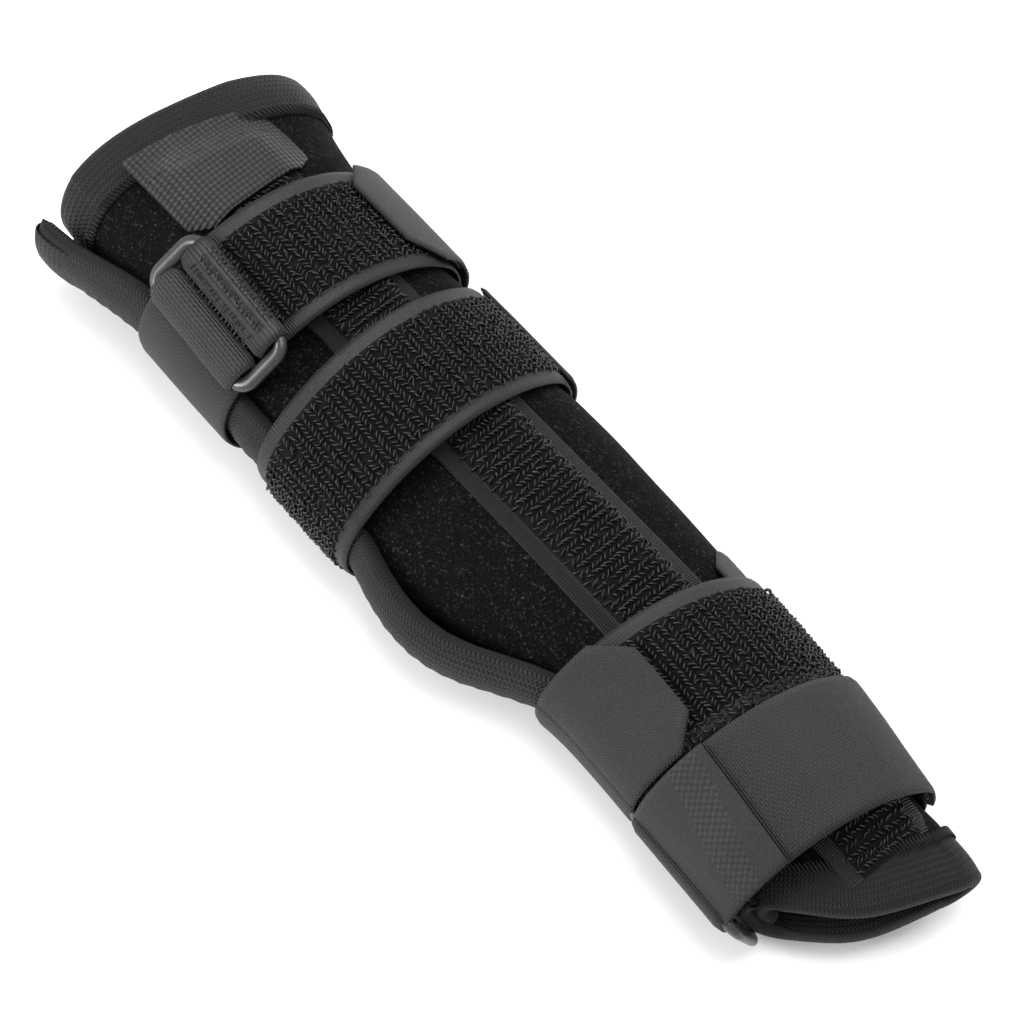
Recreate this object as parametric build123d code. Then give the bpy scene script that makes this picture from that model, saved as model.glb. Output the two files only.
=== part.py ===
from build123d import *
import math
import os

# A wrist and forearm splint, closed as it is stored: a foam laminate wrap rolled into a flattened
# tube, an aluminium stay in a pocket along its top, and four straps round it.
# Millimetres. +X runs from the forearm end to the hand end, +Z is up, and the origin is on the
# surface that the splint lies on, below the middle of its bounding box.

# ---- driving dimensions -------------------------------------------------------------------------
X_FAR, X_NEAR = -153.0, 154.0        # the two ends of the wrap
# the rolled wrap along its length: x, left side, right side, underside
PROFILE = [(X_FAR, -33.0, 40.0, 4.9), (-60.0, -37.0, 38.0, 4.9), (10.0, -39.5, 37.0, 4.9),
           (47.0, -25.0, 35.0, 4.9), (88.0, -27.0, 32.5, 4.9), (X_NEAR, -33.0, 19.5, 9.8)]
CROWN_FAR, CROWN_NEAR = 48.0, 27.5   # top of the wrap at its two ends, straight between them
LIP_SHARE, FOLD_SHARE = 0.47, 0.45   # radius of the left and right sides, as a share of the height
# corners of the plan shape that trims each end: x past the end, y
FAR_CORNERS = [(15.0, 60.0), (1.0, -20.0), (9.0, -60.0)]
NEAR_CORNERS = [(-52.0, -48.0), (-9.0, -12.0), (1.0, 24.0), (1.0, 60.0)]
CORNER_ROUND = 24.0
LIP_EDGE_FAR, LIP_EDGE_NEAR, INNER_EDGE_NEAR = 22.0, 52.0, 38.0   # how far the edge tapes stop from the ends

FABRIC, FOAM, LINING = 0.6, 2.0, 0.5  # plies of the laminate
PLY_GAP = 0.05                        # glue line between plies
WRAP = FABRIC + FOAM + LINING + 2 * PLY_GAP
LIP_STEP = WRAP + 1.3                 # the lip lies this far outside the inner layer
INNER_END, LIP_END = 232.0, -214.0    # normal angles where the panel starts and stops

BINDING, BINDING_WIDTH = 0.5, 14.0    # knit tape folded over the edges
BINDING_GAP = 0.08
INNER_BINDING_WIDTH = 5.0

STRAP_WIDTH = 38.0
TAPE, BAND, HOOK, WEB = 0.8, 1.8, 0.7, 1.2   # anchor tape, loop band, hook patch, webbing
AIR = 0.1                                    # between layers that only touch
ANCHOR_AT = AIR                              # heights of the layers above the strap's track
BAND_AT = ANCHOR_AT + TAPE + AIR
HOOK_AT = BAND_AT + BAND + AIR
WEB_AT = HOOK_AT + HOOK + AIR
LOW_AT = BAND_AT + BAND - WEB                # webbing where no band lies under it
TIP_CUT = 8.0                                # corner cut off a tab
HINGE_GAP = 0.6                              # between a webbing and its tab, in degrees

RING_LENGTH, RING_WIDTH, RING_BAR, RING_CORNER = 45.4, 20.6, 3.4, 5.5
RING_SLOT_LENGTH, RING_SLOT_WIDTH, RING_SLOT_CORNER, RING_EDGE = 41.0, 13.8, 0.9, 0.8
RING_OFF = 3.0                        # ring's mid-plane above the strap's track
BAR_OFF = (RING_WIDTH + RING_SLOT_WIDTH) / 4
SNUG, SLACK = 0.55, 1.5              # room round a ring bar in a tight fold and in a loose one
SLEEVE_LENGTH = 36.6

POCKET_Y, POCKET_WIDTH, POCKET_FLAT = 6.5, 29.0, 17.4
POCKET_START, POCKET_END = -119.0, 130.0
POCKET_ROOM, POCKET_TAPE = 2.4, 1.4
STAY_WIDTH, STAY_THICK, STAY_START, STAY_END = 16.0, 1.6, -110.0, 124.0
TIP_LENGTH, TIP_WALL, TIP_FIT = 9.0, 0.25, 0.05
STRAP_LIFT = POCKET_ROOM + POCKET_TAPE + 2.1  # a strap's track clears the pocket by this

TAB_SEAM_X, TAB_HINGE_X, TAB_FREE_X = -136.0, -126.0, -107.0   # at mid-width
TAB_WIDTH, TAB_SLANT, TAB_RISE = 40.0, 0.25, POCKET_ROOM + POCKET_TAPE + AIR + HOOK + AIR
TAB_CORNER, TAB_GAP = 5.0, 0.4        # corner cut off the free edge, gap at the hinge
TAB_HOOK_LENGTH = 9.0
REST_CUT = 0.02                       # pressed flat off the underside of the strap that it lies on


# ---- cross-sections: chains of tangent arcs in the YZ plane ------------------------------------
# An arc is (centre y, centre z, radius, first normal angle, last normal angle), angles in degrees.

def crown(x):
    """Height of the wrap's top at x."""
    return CROWN_FAR + (CROWN_NEAR - CROWN_FAR) * (x - X_FAR) / (X_NEAR - X_FAR)


def profile(x):
    """Left side, right side and underside of the wrap at x."""
    for row0, row1 in zip(PROFILE, PROFILE[1:]):
        if x <= row1[0]:
            break
    t = (x - row0[0]) / (row1[0] - row0[0])
    return [a + (b - a) * t for a, b in zip(row0[1:], row1[1:])]


def side_circles(x):
    """(centre y, centre z, radius) of the lip's circle and of the fold's circle at x."""
    left, right, base = profile(x)
    height = crown(x) - base
    lip, fold = LIP_SHARE * height, FOLD_SHARE * height
    return (left + lip, base + lip, lip), (right - fold, base + fold, fold)


def bridge(left, right, top):
    """The arc over two circles, tangent to both, that reaches the height top."""
    span = math.hypot(right[0] - left[0], right[1] - left[1])
    tilt = math.atan2(right[1] - left[1], right[0] - left[0])

    def arc(radius):
        a, b = radius - left[2], radius - right[2]
        along = (a * a - b * b + span * span) / (2 * span)
        down = math.sqrt(max(a * a - along * along, 0.0))
        y = left[0] + along * math.cos(tilt) + down * math.sin(tilt)
        z = left[1] + along * math.sin(tilt) - down * math.cos(tilt)
        to_left = math.degrees(math.atan2(left[1] - z, left[0] - y))
        to_right = math.degrees(math.atan2(right[1] - z, right[0] - y))
        return y, z, radius, to_left, to_right

    low, high = (span + left[2] + right[2]) / 2 + 0.01, 5000.0
    for _ in range(60):
        radius = (low + high) / 2
        y, z, _, _, to_right = arc(radius)
        if to_right < 90 and z + radius > top:
            low = radius
        else:
            high = radius
    return arc(radius)


def wrap_chain(x):
    """The wrap's outer surface, from the edge hidden inside, over the top, round and up to the lip."""
    (ly, lz, lr), fold = side_circles(x)
    inner = (ly, lz, lr - LIP_STEP)
    y, z, radius, a_left, a_right = bridge(inner, fold, crown(x))
    return [(*inner, INNER_END, a_left), (y, z, radius, a_left, a_right),
            (*fold, a_right, -90.0), (ly, lz, lr, -90.0, LIP_END)]


def strap_chain(x, start, end):
    """The closed track that a strap follows at x, from one normal angle to another."""
    lip, fold = side_circles(x)
    y, z, radius, a_left, a_right = bridge(lip, fold, crown(x) + STRAP_LIFT)
    turn = [(*fold, -90.0, a_right), (y, z, radius, a_right, a_left), (*lip, a_left, 270.0)]
    low, high = min(start, end), max(start, end)
    arcs = []
    for k in (-2, -1, 0, 1, 2):
        for cy, cz, r, a0, a1 in turn:
            a0, a1 = max(a0 + 360 * k, low), min(a1 + 360 * k, high)
            if a1 - a0 > 1e-6:
                arcs.append((cy, cz, r, a0, a1))
    return arcs if start < end else [(cy, cz, r, a1, a0) for cy, cz, r, a0, a1 in reversed(arcs)]


def spot(arc, angle, off=0.0):
    """(y, z) of the point on an arc at a normal angle, moved out by off."""
    cy, cz, r = arc[:3]
    a = math.radians(angle)
    return cy + (r + off) * math.cos(a), cz + (r + off) * math.sin(a)


def path(x, arcs, off):
    """Edges along a chain at an offset, with straight runs where two arcs don't meet."""
    edges, last = [], None
    for arc in arcs:
        first, middle, end = (Vector(x, *spot(arc, a, off)) for a in (arc[3], (arc[3] + arc[4]) / 2, arc[4]))
        if last is not None and (first - last).length > 1e-6:
            edges.append(Line(last, first))
        edges.append(ThreePointArc(first, middle, end))
        last = end
    return edges


def ribbon(x, arcs, low, high):
    """Closed wire round the ribbon between two offsets of a chain."""
    outer, inner = path(x, arcs, high), path(x, arcs, low)
    caps = [Line(outer[-1] @ 1, inner[-1] @ 1), Line(inner[0] @ 0, outer[0] @ 0)]
    return Wire([*outer, caps[0], *inner, caps[1]])


def stations(x0, x1):
    """x0, x1 and the profile's stations between them."""
    return [x0, *[row[0] for row in PROFILE if x0 + 1 < row[0] < x1 - 1], x1]


def wrap_ply(low, high, x0=X_FAR - 2, x1=X_NEAR + 2):
    return Solid.make_loft([ribbon(x, wrap_chain(x), low, high) for x in stations(x0, x1)], ruled=True)


def strap_ply(x0, x1, runs, thickness):
    """A layer of a strap between x0 and x1. Each run is (start, end, height above the track)."""
    def section(x):
        arcs = [(cy, cz, r + height, a0, a1)
                for start, end, height in runs for cy, cz, r, a0, a1 in strap_chain(x, start, end)]
        return ribbon(x, arcs, 0, thickness)
    return Solid.make_loft([section(x) for x in (x0, x1)], ruled=True)


# ---- the wrap -----------------------------------------------------------------------------------

def outline(grow=0.0):
    """Plan shape that trims the wrap: skewed forearm end, rounded hand end. Grown outwards by grow."""
    far = [(X_FAR - grow + x, y) for x, y in FAR_CORNERS]
    near = [(X_NEAR + grow + x, y) for x, y in NEAR_CORNERS]
    plan = Polygon(*far, *near, align=None)
    plan = fillet(plan.vertices().filter_by(lambda v: -30 < v.Y < 30), CORNER_ROUND)
    return Pos(0, 0, -5) * extrude(plan, CROWN_FAR + 20)


def make_wrap(trim):
    foam_at = -FABRIC - PLY_GAP
    lining_at = foam_at - FOAM - PLY_GAP
    return {
        "wrap_outer_fabric": wrap_ply(-FABRIC, 0) & trim,
        "wrap_foam_core": wrap_ply(foam_at - FOAM, foam_at) & trim,
        "wrap_lining": wrap_ply(lining_at - LINING, lining_at) & trim,
    }


def make_end_bindings():
    """The knit tape folded over the wrap's two ends."""
    grow = BINDING_GAP + BINDING
    sleeve = wrap_ply(-WRAP - grow, grow, X_FAR - 4, X_NEAR + 4)
    core = wrap_ply(-WRAP - BINDING_GAP, BINDING_GAP, X_FAR - 4, X_NEAR + 4) & outline(BINDING_GAP)
    cover = (sleeve & outline(grow)) - outline(-BINDING_WIDTH) - core
    far = Pos(-100, 0, 30) * Box(200, 200, 100)
    near = Pos(100, 0, 30) * Box(200, 200, 100)
    return {"binding_forearm_end": cover & far, "binding_hand_end": cover & near}


def edge_channel(x, arc, edge, way, width):
    """U-shaped section round one long edge of the panel: way is the turn that leads into the panel."""
    back = edge + way * math.degrees(width / arc[2])
    gap = edge - way * math.degrees(BINDING_GAP / arc[2])
    lip = edge - way * math.degrees((BINDING_GAP + BINDING) / arc[2])
    out, inn = BINDING_GAP + BINDING, -WRAP - BINDING_GAP - BINDING
    near_out, near_in = BINDING_GAP, -WRAP - BINDING_GAP

    def at(angle, off):
        return Vector(x, *spot(arc, angle, off))

    def sweep(first, last, off):
        return ThreePointArc(at(first, off), at((first + last) / 2, off), at(last, off))

    return Wire([
        sweep(back, lip, out), Line(at(lip, out), at(lip, inn)), sweep(lip, back, inn),
        Line(at(back, inn), at(back, near_in)), sweep(back, gap, near_in),
        Line(at(gap, near_in), at(gap, near_out)), sweep(gap, back, near_out),
        Line(at(back, near_out), at(back, out))])


def make_edge_bindings():
    """The knit tape along the lip and along the panel's other edge, which is tucked inside."""
    lip = [edge_channel(x, wrap_chain(x)[3], LIP_END, 1, BINDING_WIDTH)
           for x in stations(X_FAR + LIP_EDGE_FAR, X_NEAR - LIP_EDGE_NEAR)]
    inner = [edge_channel(x, wrap_chain(x)[0], INNER_END, -1, INNER_BINDING_WIDTH)
             for x in stations(X_FAR + LIP_EDGE_FAR, X_NEAR - INNER_EDGE_NEAR)]
    return {"binding_lip_edge": Solid.make_loft(lip, ruled=True),
            "binding_inner_edge": Solid.make_loft(inner, ruled=True)}


# ---- the stay and its pocket --------------------------------------------------------------------

def top_z(x, y):
    """Height of the wrap's outer surface at a place on its top."""
    cy, cz, r = wrap_chain(x)[1][:3]
    return cz + math.sqrt(r * r - (y - cy) ** 2)


def hat(x, half, flat, edge, rise, thickness, slant=0.0):
    """Section over the pocket's line: flat in the middle, then down to the wrap at both edges.

    edge and rise are its heights above the wrap at the edges and in the middle; rise None keeps it level.
    """
    points = []
    for y in (-half, -flat, flat, half):
        px, py = x + slant * y, POCKET_Y + y
        z = crown(px) + rise if abs(y) <= flat or edge is None else top_z(px, py) + edge
        points.append((px, py, z))
    lid = [(px, py, z + thickness) for px, py, z in reversed(points)]
    return Wire([Line(p, q) for p, q in zip(points + lid, points[1:] + lid + points[:1])])


def make_pocket():
    args = (POCKET_WIDTH / 2, POCKET_FLAT / 2, AIR, POCKET_ROOM, POCKET_TAPE)
    sections = [hat(x, *args) for x in stations(POCKET_START, POCKET_END)]
    return {"pocket_loop_strip": Solid.make_loft(sections, ruled=True)}


def crown_plane(x, rise):
    """Plane above the wrap's top at x, with its x axis along the slope towards the hand end."""
    slope = (CROWN_NEAR - CROWN_FAR) / (X_NEAR - X_FAR)
    return Plane(origin=(x, POCKET_Y, crown(x) + rise), x_dir=(1, 0, slope), z_dir=(-slope, 0, 1))


def make_stay():
    length = STAY_END - STAY_START
    at = crown_plane((STAY_START + STAY_END) / 2, POCKET_ROOM / 2)
    round_end = STAY_WIDTH / 2 - 2 * TIP_FIT
    blade = extrude(RectangleRounded(length, STAY_WIDTH, round_end), STAY_THICK / 2, both=True)
    room = extrude(RectangleRounded(length + 2 * TIP_FIT, STAY_WIDTH + 2 * TIP_FIT, round_end),
                   STAY_THICK / 2 + TIP_FIT, both=True)
    shell = extrude(RectangleRounded(length + 2 * TIP_WALL, STAY_WIDTH + 2 * TIP_WALL, round_end),
                    STAY_THICK / 2 + TIP_WALL, both=True)
    middle = Box(length - 2 * TIP_LENGTH, STAY_WIDTH * 2, STAY_THICK * 3)
    return {"stay_blade": at * blade, "stay_tips": at * (shell - middle - room)}


def make_pocket_tab():
    """The woven tab over the pocket's mouth, its hook patch, and the foot that it is sewn down by."""
    half, flat = TAB_WIDTH / 2, POCKET_FLAT / 2 + 1
    level = (half, flat, None, TAB_RISE, WEB)
    down = (half, flat, BINDING + 0.5, BINDING + 0.3, WEB)
    before, after = TAB_HINGE_X - TAB_GAP / 2, TAB_HINGE_X + TAB_GAP / 2
    foot = Solid.make_loft([hat(TAB_SEAM_X, *down, TAB_SLANT), hat(before, *level, TAB_SLANT)], ruled=True)
    flap = Solid.make_loft([hat(after, *level, TAB_SLANT), hat(TAB_FREE_X, *level)], ruled=True)
    for side in (-1, 1):
        corner = Polygon((0, 0), (-TAB_CORNER, 0), (0, -side * TAB_CORNER), align=None)
        flap = flap - Pos(TAB_FREE_X, POCKET_Y + side * half, 0) * extrude(corner, 100)
    at = crown_plane(TAB_FREE_X - TAB_HOOK_LENGTH / 2 - 1.5, TAB_RISE - AIR - HOOK / 2)
    hook = at * Box(TAB_HOOK_LENGTH, POCKET_FLAT - 1, HOOK)
    return {"pocket_tab": flap, "pocket_tab_hook": hook, "pocket_tab_foot": foot}


# ---- straps --------------------------------------------------------------------------------------

class Strap:
    """A loop band and a webbing that close round the wrap. They run askew: x grows by skew times y.

    Angles are normal angles on the strap's track. band, web and fold are lists of runs
    (start, end, height); tab is (hinge angle, tip angle); anchor is (start, end, x0, x1).
    """

    def __init__(self, name, middle, skew, band, web, tab, anchor, ring=None, fold=None):
        self.name, self.skew = "strap_" + name, skew
        self.x0, self.x1 = middle - STRAP_WIDTH / 2, middle + STRAP_WIDTH / 2
        self.band, self.web, self.tab, self.anchor, self.ring, self.fold = band, web, tab, anchor, ring, fold
        self.way = 1 if tab[1] > tab[0] else -1   # the turn that the webbing makes

    def point(self, x, angle, off):
        y, z = spot(strap_chain(x, angle - 0.01, angle + 0.01)[0], angle, off)
        return Vector(x + self.skew * y, y, z)

    def frame(self, angle, off):
        """Plane on the track at mid-width: x along the splint, y round it the webbing's way, z outwards."""
        ends = [self.point(x, angle, off) for x in (self.x0, self.x1)]
        along = (ends[1] - ends[0]).normalized()
        a = math.radians(angle)
        out = Vector(0, math.cos(a), math.sin(a))
        out = (out - along * out.dot(along)).normalized()
        return Plane(origin=(ends[0] + ends[1]) / 2, x_dir=along * -self.way, z_dir=out)

    def layer(self, runs, thickness, x0, x1):
        askew = Matrix([[1, self.skew, 0, 0], [0, 1, 0, 0], [0, 0, 1, 0]])
        return strap_ply(x0, x1, runs, thickness).transform_geometry(askew)

    def bar(self, side):
        """Plane at the centre of a long bar of the ring, with z along the bar; side 1 is the webbing's."""
        return self.frame(self.ring, RING_OFF) * Pos(0, side * BAR_OFF, 0) * Rot(0, 90, 0)

    def folded(self, layer, side, room, thickness):
        """The layer with a sleeve round a ring bar at its end."""
        at = self.bar(side)
        hole = RING_BAR / 2 + room
        sleeve = at * Cylinder(hole + thickness, SLEEVE_LENGTH)
        return layer + sleeve - at * Cylinder(hole, RING_LENGTH + 20)

    def make_ring(self):
        plan = RectangleRounded(RING_LENGTH, RING_WIDTH, RING_CORNER)
        plan -= RectangleRounded(RING_SLOT_LENGTH, RING_SLOT_WIDTH, RING_SLOT_CORNER)
        body = extrude(plan, RING_BAR / 2, both=True)
        faces = body.faces().sort_by(Axis.Z)
        edges = faces[0].edges() + faces[-1].edges()
        return self.frame(self.ring, RING_OFF) * fillet(edges, RING_EDGE)

    def tip_cut(self, angle):
        """Prism that trims a tab square at its tip and cuts its two corners off."""
        h, out, past = STRAP_WIDTH / 2, STRAP_WIDTH / 2 + 5, 30
        plan = make_face(Polyline((-out, past), (-out, -TIP_CUT), (-h, -TIP_CUT), (-h + TIP_CUT, 0),
                                  (h - TIP_CUT, 0), (h, -TIP_CUT), (out, -TIP_CUT), (out, past), close=True))
        return self.frame(angle, WEB_AT) * extrude(plan, 10, both=True)

    def make(self):
        hinge, tip = self.tab
        gap = self.way * HINGE_GAP
        full = (self.x0, self.x1)
        band, web = self.layer(self.band, BAND, *full), self.layer(self.web, WEB, *full)
        if self.fold:
            web = web + self.layer(self.fold, WEB, *full)
        parts = {}
        if self.ring is not None:
            band_room, web_room = (SLACK, SNUG) if self.fold else (SNUG, SLACK)
            band = self.folded(band, -1, band_room, BAND)
            web = self.folded(web, 1, web_room, WEB)
            parts["ring"] = self.make_ring()
        parts["loop_band"], parts["webbing"] = band, web
        tab = self.layer([(hinge + gap, tip + 4 * gap, WEB_AT)], WEB, *full)
        hook = self.layer([(hinge + 10 * gap, tip - 4 * gap, HOOK_AT)], HOOK, self.x0 + 1.5, self.x1 - 1.5)
        parts["tab"] = tab - self.tip_cut(tip)
        parts["hook_patch"] = hook - self.tip_cut(tip - 4 * gap)
        start, end, x0, x1 = self.anchor
        parts["anchor"] = self.layer([(start, end, ANCHOR_AT)], TAPE, x0, x1)
        return {f"{self.name}_{key}": Part() + shape for key, shape in parts.items()}


STRAPS = [
    Strap("a", -85.0, 0.07, ring=123.0, band=[(112.0, -60.0, BAND_AT)],
          web=[(132.0, 232.0, LOW_AT), (250.0, 366.0, WEB_AT)], tab=(366.0, 414.0), anchor=(-25, 25, -99, -71)),
    Strap("b", -36.0, 0.0, band=[(-22.0, -360.0, BAND_AT)],
          web=[(-340.0, -370.0, WEB_AT)], tab=(-370.0, -421.0), anchor=(-58, -3, -50, -22)),
    Strap("c", 68.2, 0.14, band=[(190.0, -62.0, BAND_AT)],
          web=[(-50.0, -192.0, WEB_AT)], tab=(-192.0, -252.0), anchor=(5, 50, 41, 76)),
    Strap("d", 110.6, 0.14, ring=193.0, band=[(224.0, 368.0, BAND_AT)],
          web=[(164.0, 16.0, WEB_AT)], fold=[(162.0, 112.0, WEB_AT + WEB - 0.01)],
          tab=(16.0, -42.0), anchor=(-30, 12, 95, 122)),
]


def make_parts():
    trim = outline()
    parts = {**make_wrap(trim), **make_end_bindings(), **make_edge_bindings()}
    parts |= {**make_pocket(), **make_stay(), **make_pocket_tab()}
    for strap in STRAPS:
        parts |= strap.make()
    below = Pos(0, 0, -5) * Box(2 * X_NEAR, 4 * STRAP_WIDTH, 10 + 2 * REST_CUT)
    parts["strap_a_webbing"] -= below
    box = Compound(children=[Part() + p for p in parts.values()]).bounding_box()
    middle = box.center()
    return {node: Pos(-middle.X, -middle.Y, -box.min.Z) * shape for node, shape in parts.items()}


if __name__ == "__main__":
    os.makedirs("parts", exist_ok=True)
    for node, shape in make_parts().items():
        export_step(shape, f"parts/{node}.step")
        print(node, round(shape.volume, 1), shape.bounding_box())
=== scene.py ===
import math
import bpy
import numpy as np
from mathutils import Matrix, Vector


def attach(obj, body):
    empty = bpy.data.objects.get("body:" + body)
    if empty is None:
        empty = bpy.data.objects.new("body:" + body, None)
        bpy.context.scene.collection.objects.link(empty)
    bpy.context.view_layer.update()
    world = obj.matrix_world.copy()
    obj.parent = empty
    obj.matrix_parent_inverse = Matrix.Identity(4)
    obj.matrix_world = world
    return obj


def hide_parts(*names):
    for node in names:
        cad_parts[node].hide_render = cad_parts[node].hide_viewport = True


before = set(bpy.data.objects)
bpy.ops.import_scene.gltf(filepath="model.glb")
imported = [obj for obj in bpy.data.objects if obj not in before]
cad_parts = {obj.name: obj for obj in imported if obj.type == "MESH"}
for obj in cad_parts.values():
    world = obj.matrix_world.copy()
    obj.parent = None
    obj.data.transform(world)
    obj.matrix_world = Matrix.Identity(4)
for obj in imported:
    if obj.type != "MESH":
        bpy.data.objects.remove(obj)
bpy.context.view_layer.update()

rng = np.random.default_rng(7)

# ---- the splint's own dimensions, millimetres, in the frame before it is centred -----------------
# PROFILE: (x, left side, right side, underside) of the wrap. +x runs towards the hand end.
X_FAR, X_NEAR = -153.0, 154.0
PROFILE = np.array([
    (X_FAR, -33.0, 40.0, 4.9),
    (-60.0, -37.0, 38.0, 4.9),
    (10.0, -39.5, 37.0, 4.9),
    (47.0, -25.0, 35.0, 4.9),
    (88.0, -27.0, 32.5, 4.9),
    (X_NEAR, -33.0, 19.5, 9.8),
])
CROWN_FAR, CROWN_NEAR = 48.0, 27.5              # height of the wrap's top at its two ends
LIP_SHARE, FOLD_SHARE = 0.47, 0.45              # radii of the left and right sides over the height
WRAP, LIP_STEP = 3.2, 4.5                       # panel's thickness, gap it leaves under the lip
INNER_END, LIP_END = 232.0, -214.0              # angles where the panel's two long edges stop
BINDING_WIDTH, BINDING_SHEET = 14.0, 0.4
STRAP_WIDTH, SELVEDGE_WIDTH = 38.0, 4.4
BAND, HOOK, WEB, ANCHOR = 1.8, 0.7, 1.2, 0.8    # thicknesses
CLOTH_SHARE = 0.62                              # part of a loop tape's thickness that is cloth
BAND_AT, HOOK_AT, WEB_AT, LOW_AT, ANCHOR_AT = 1.0, 2.9, 3.7, 1.6, 0.1    # heights above the track
LOOPS_HALF = 14.4                               # half width of the looped part of a band
RING_OFF, RING_OFF_LOW, BAR_OFF, RING_BAR = 3.0, 1.9, 8.6, 3.4
RING_LENGTH, RING_WIDTH, RING_CORNER = 41.4, 17.2, 4.2
SLEEVE_LENGTH, SLEEVE_ROOM = 36.6, 0.3
POCKET_Y, POCKET_WIDTH, POCKET_FLAT = 6.5, 29.0, 17.4
POCKET_START, POCKET_END, POCKET_ROOM, POCKET_TAPE = -119.0, 139.0, 2.4, 1.4
STRAP_LIFT = POCKET_ROOM + POCKET_TAPE + 2.1
TAB_SEAM_X, TAB_HINGE_X, TAB_FREE_X = -136.0, -126.0, -107.0
TAB_WIDTH, TAB_SLANT, TAB_RISE, TAB_CORNER = 40.0, 0.25, 4.7, 5.0
THREAD_RADIUS = 0.22
SHIFT = np.array([-1.15098, -1.25526, -0.02])   # what centres the part in its frame


def crown(x):
    """Height of the wrap's top at x."""
    return CROWN_FAR + (CROWN_NEAR - CROWN_FAR) * (x - X_FAR) / (X_NEAR - X_FAR)


def profile(x):
    """Left side, right side and underside of the wrap at x, with the sides' corners eased."""
    spread = min(16.0, max(0.0, x - X_FAR), max(0.0, X_NEAR - x))
    near = x + spread * np.linspace(-1, 1, 5)
    left, right = (float(np.interp(near, PROFILE[:, 0], PROFILE[:, k]).mean()) for k in (1, 2))
    return [left, right, float(np.interp(x, PROFILE[:, 0], PROFILE[:, 3]))]


def side_circles(x):
    """(y, z, radius) of the wrap's left and right sides."""
    left, right, base = profile(x)
    height = crown(x) - base
    lip, fold = LIP_SHARE * height, FOLD_SHARE * height
    return (left + lip, base + lip, lip), (right - fold, base + fold, fold)


def bridge(left, right, top):
    """(y, z, radius, left angle, right angle) of the arc over two circles that reaches up to top."""
    span = math.hypot(right[0] - left[0], right[1] - left[1])
    tilt = math.atan2(right[1] - left[1], right[0] - left[0])

    def arc(radius):
        a, b = radius - left[2], radius - right[2]
        along = (a * a - b * b + span * span) / (2 * span)
        down = math.sqrt(max(a * a - along * along, 0.0))
        y = left[0] + along * math.cos(tilt) + down * math.sin(tilt)
        z = left[1] + along * math.sin(tilt) - down * math.cos(tilt)
        to_left = math.degrees(math.atan2(left[1] - z, left[0] - y))
        to_right = math.degrees(math.atan2(right[1] - z, right[0] - y))
        return y, z, radius, to_left, to_right

    low, high = (span + left[2] + right[2]) / 2 + 0.01, 5000.0
    for _ in range(50):
        radius = (low + high) / 2
        y, z, _, _, to_right = arc(radius)
        if to_right < 90 and z + radius > top:
            low = radius
        else:
            high = radius
    return arc(radius)


_cache = {}


def wrap_arcs(x):
    """The wrap's outside at x: inner edge, top, right side, outer lip, each with its two end angles."""
    key = ("w", round(x, 3))
    if key not in _cache:
        (ly, lz, lr), fold = side_circles(x)
        inner = (ly, lz, lr - LIP_STEP)
        y, z, r, a_left, a_right = bridge(inner, fold, crown(x))
        _cache[key] = [
            (*inner, INNER_END, a_left),
            (y, z, r, a_left, a_right),
            (*fold, a_right, -90.0),
            (ly, lz, lr, -90.0, LIP_END),
        ]
    return _cache[key]


def strap_arcs(x):
    """The track that the straps follow at x: lip circle, fold circle, top arc and where they meet."""
    key = ("s", round(x, 3))
    if key not in _cache:
        lip, fold = side_circles(x)
        y, z, r, a_left, a_right = bridge(lip, fold, crown(x) + STRAP_LIFT)
        _cache[key] = lip, fold, (y, z, r), a_left, a_right
    return _cache[key]


def on_strap(x, station, off):
    """(y, z, ny, nz) on a strap's track. A station is an angle, or ("flat", share) on the underside."""
    lip, fold, top, a_left, a_right = strap_arcs(x)
    if isinstance(station, tuple):
        y = lip[0] + (fold[0] - lip[0]) * station[1]
        return y, lip[1] - lip[2] - off, 0.0, -1.0
    a = (station + 90.0) % 360.0 - 90.0
    c = fold if a <= a_right else top if a <= a_left else lip
    ca, sa = math.cos(math.radians(a)), math.sin(math.radians(a))
    return c[0] + (c[2] + off) * ca, c[1] + (c[2] + off) * sa, ca, sa


STATION_PITCH = 4.0     # degrees


def run_stations(start, end):
    """Stations from one angle to another, with the flat underside between -90 and 270."""
    out, way = [], 1 if end > start else -1
    marks = [start]
    k = math.ceil((min(start, end) - 270) / 360)
    turns = [270 + 360 * j for j in range(k, k + 3)]
    flats = [f for f in turns if min(start, end) < f < max(start, end)]
    for f in sorted(flats, reverse=way < 0):
        marks += [f, None]
    marks.append(end)
    a = start
    for m in marks[1:]:
        if m is None:
            shares = np.linspace(0, 1, 9) if way > 0 else np.linspace(1, 0, 9)
            out += [("flat", float(s)) for s in shares]
            continue
        n = max(2, int(abs(m - a) / STATION_PITCH))
        out += [float(v) for v in np.linspace(a, m, n + 1)]
        a = m
    return out


# ---- mesh helpers ---------------------------------------------------------------------------------

def new_object(name, verts, faces, uvs=None, mats=(), face_mats=None):
    """A smooth mesh object from millimetres; uvs are in millimetres too, one for each vertex."""
    mesh = bpy.data.meshes.new(name)
    verts = (np.asarray(verts, float) + SHIFT) * 0.001
    mesh.from_pydata(verts.tolist(), [], [tuple(int(i) for i in f) for f in faces])
    if uvs is not None:
        layer = mesh.uv_layers.new(name="UVMap")
        idx = np.empty(len(mesh.loops), dtype=np.int64)
        mesh.loops.foreach_get("vertex_index", idx)
        layer.data.foreach_set("uv", (np.asarray(uvs, float)[idx] * 0.01).ravel())
    for m in mats:
        mesh.materials.append(m)
    if face_mats is not None:
        mesh.polygons.foreach_set("material_index", np.asarray(face_mats, dtype=np.int32))
    mesh.polygons.foreach_set("use_smooth", np.full(len(mesh.polygons), True))
    mesh.update()
    obj = bpy.data.objects.new(name, mesh)
    bpy.context.scene.collection.objects.link(obj)
    return obj


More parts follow.
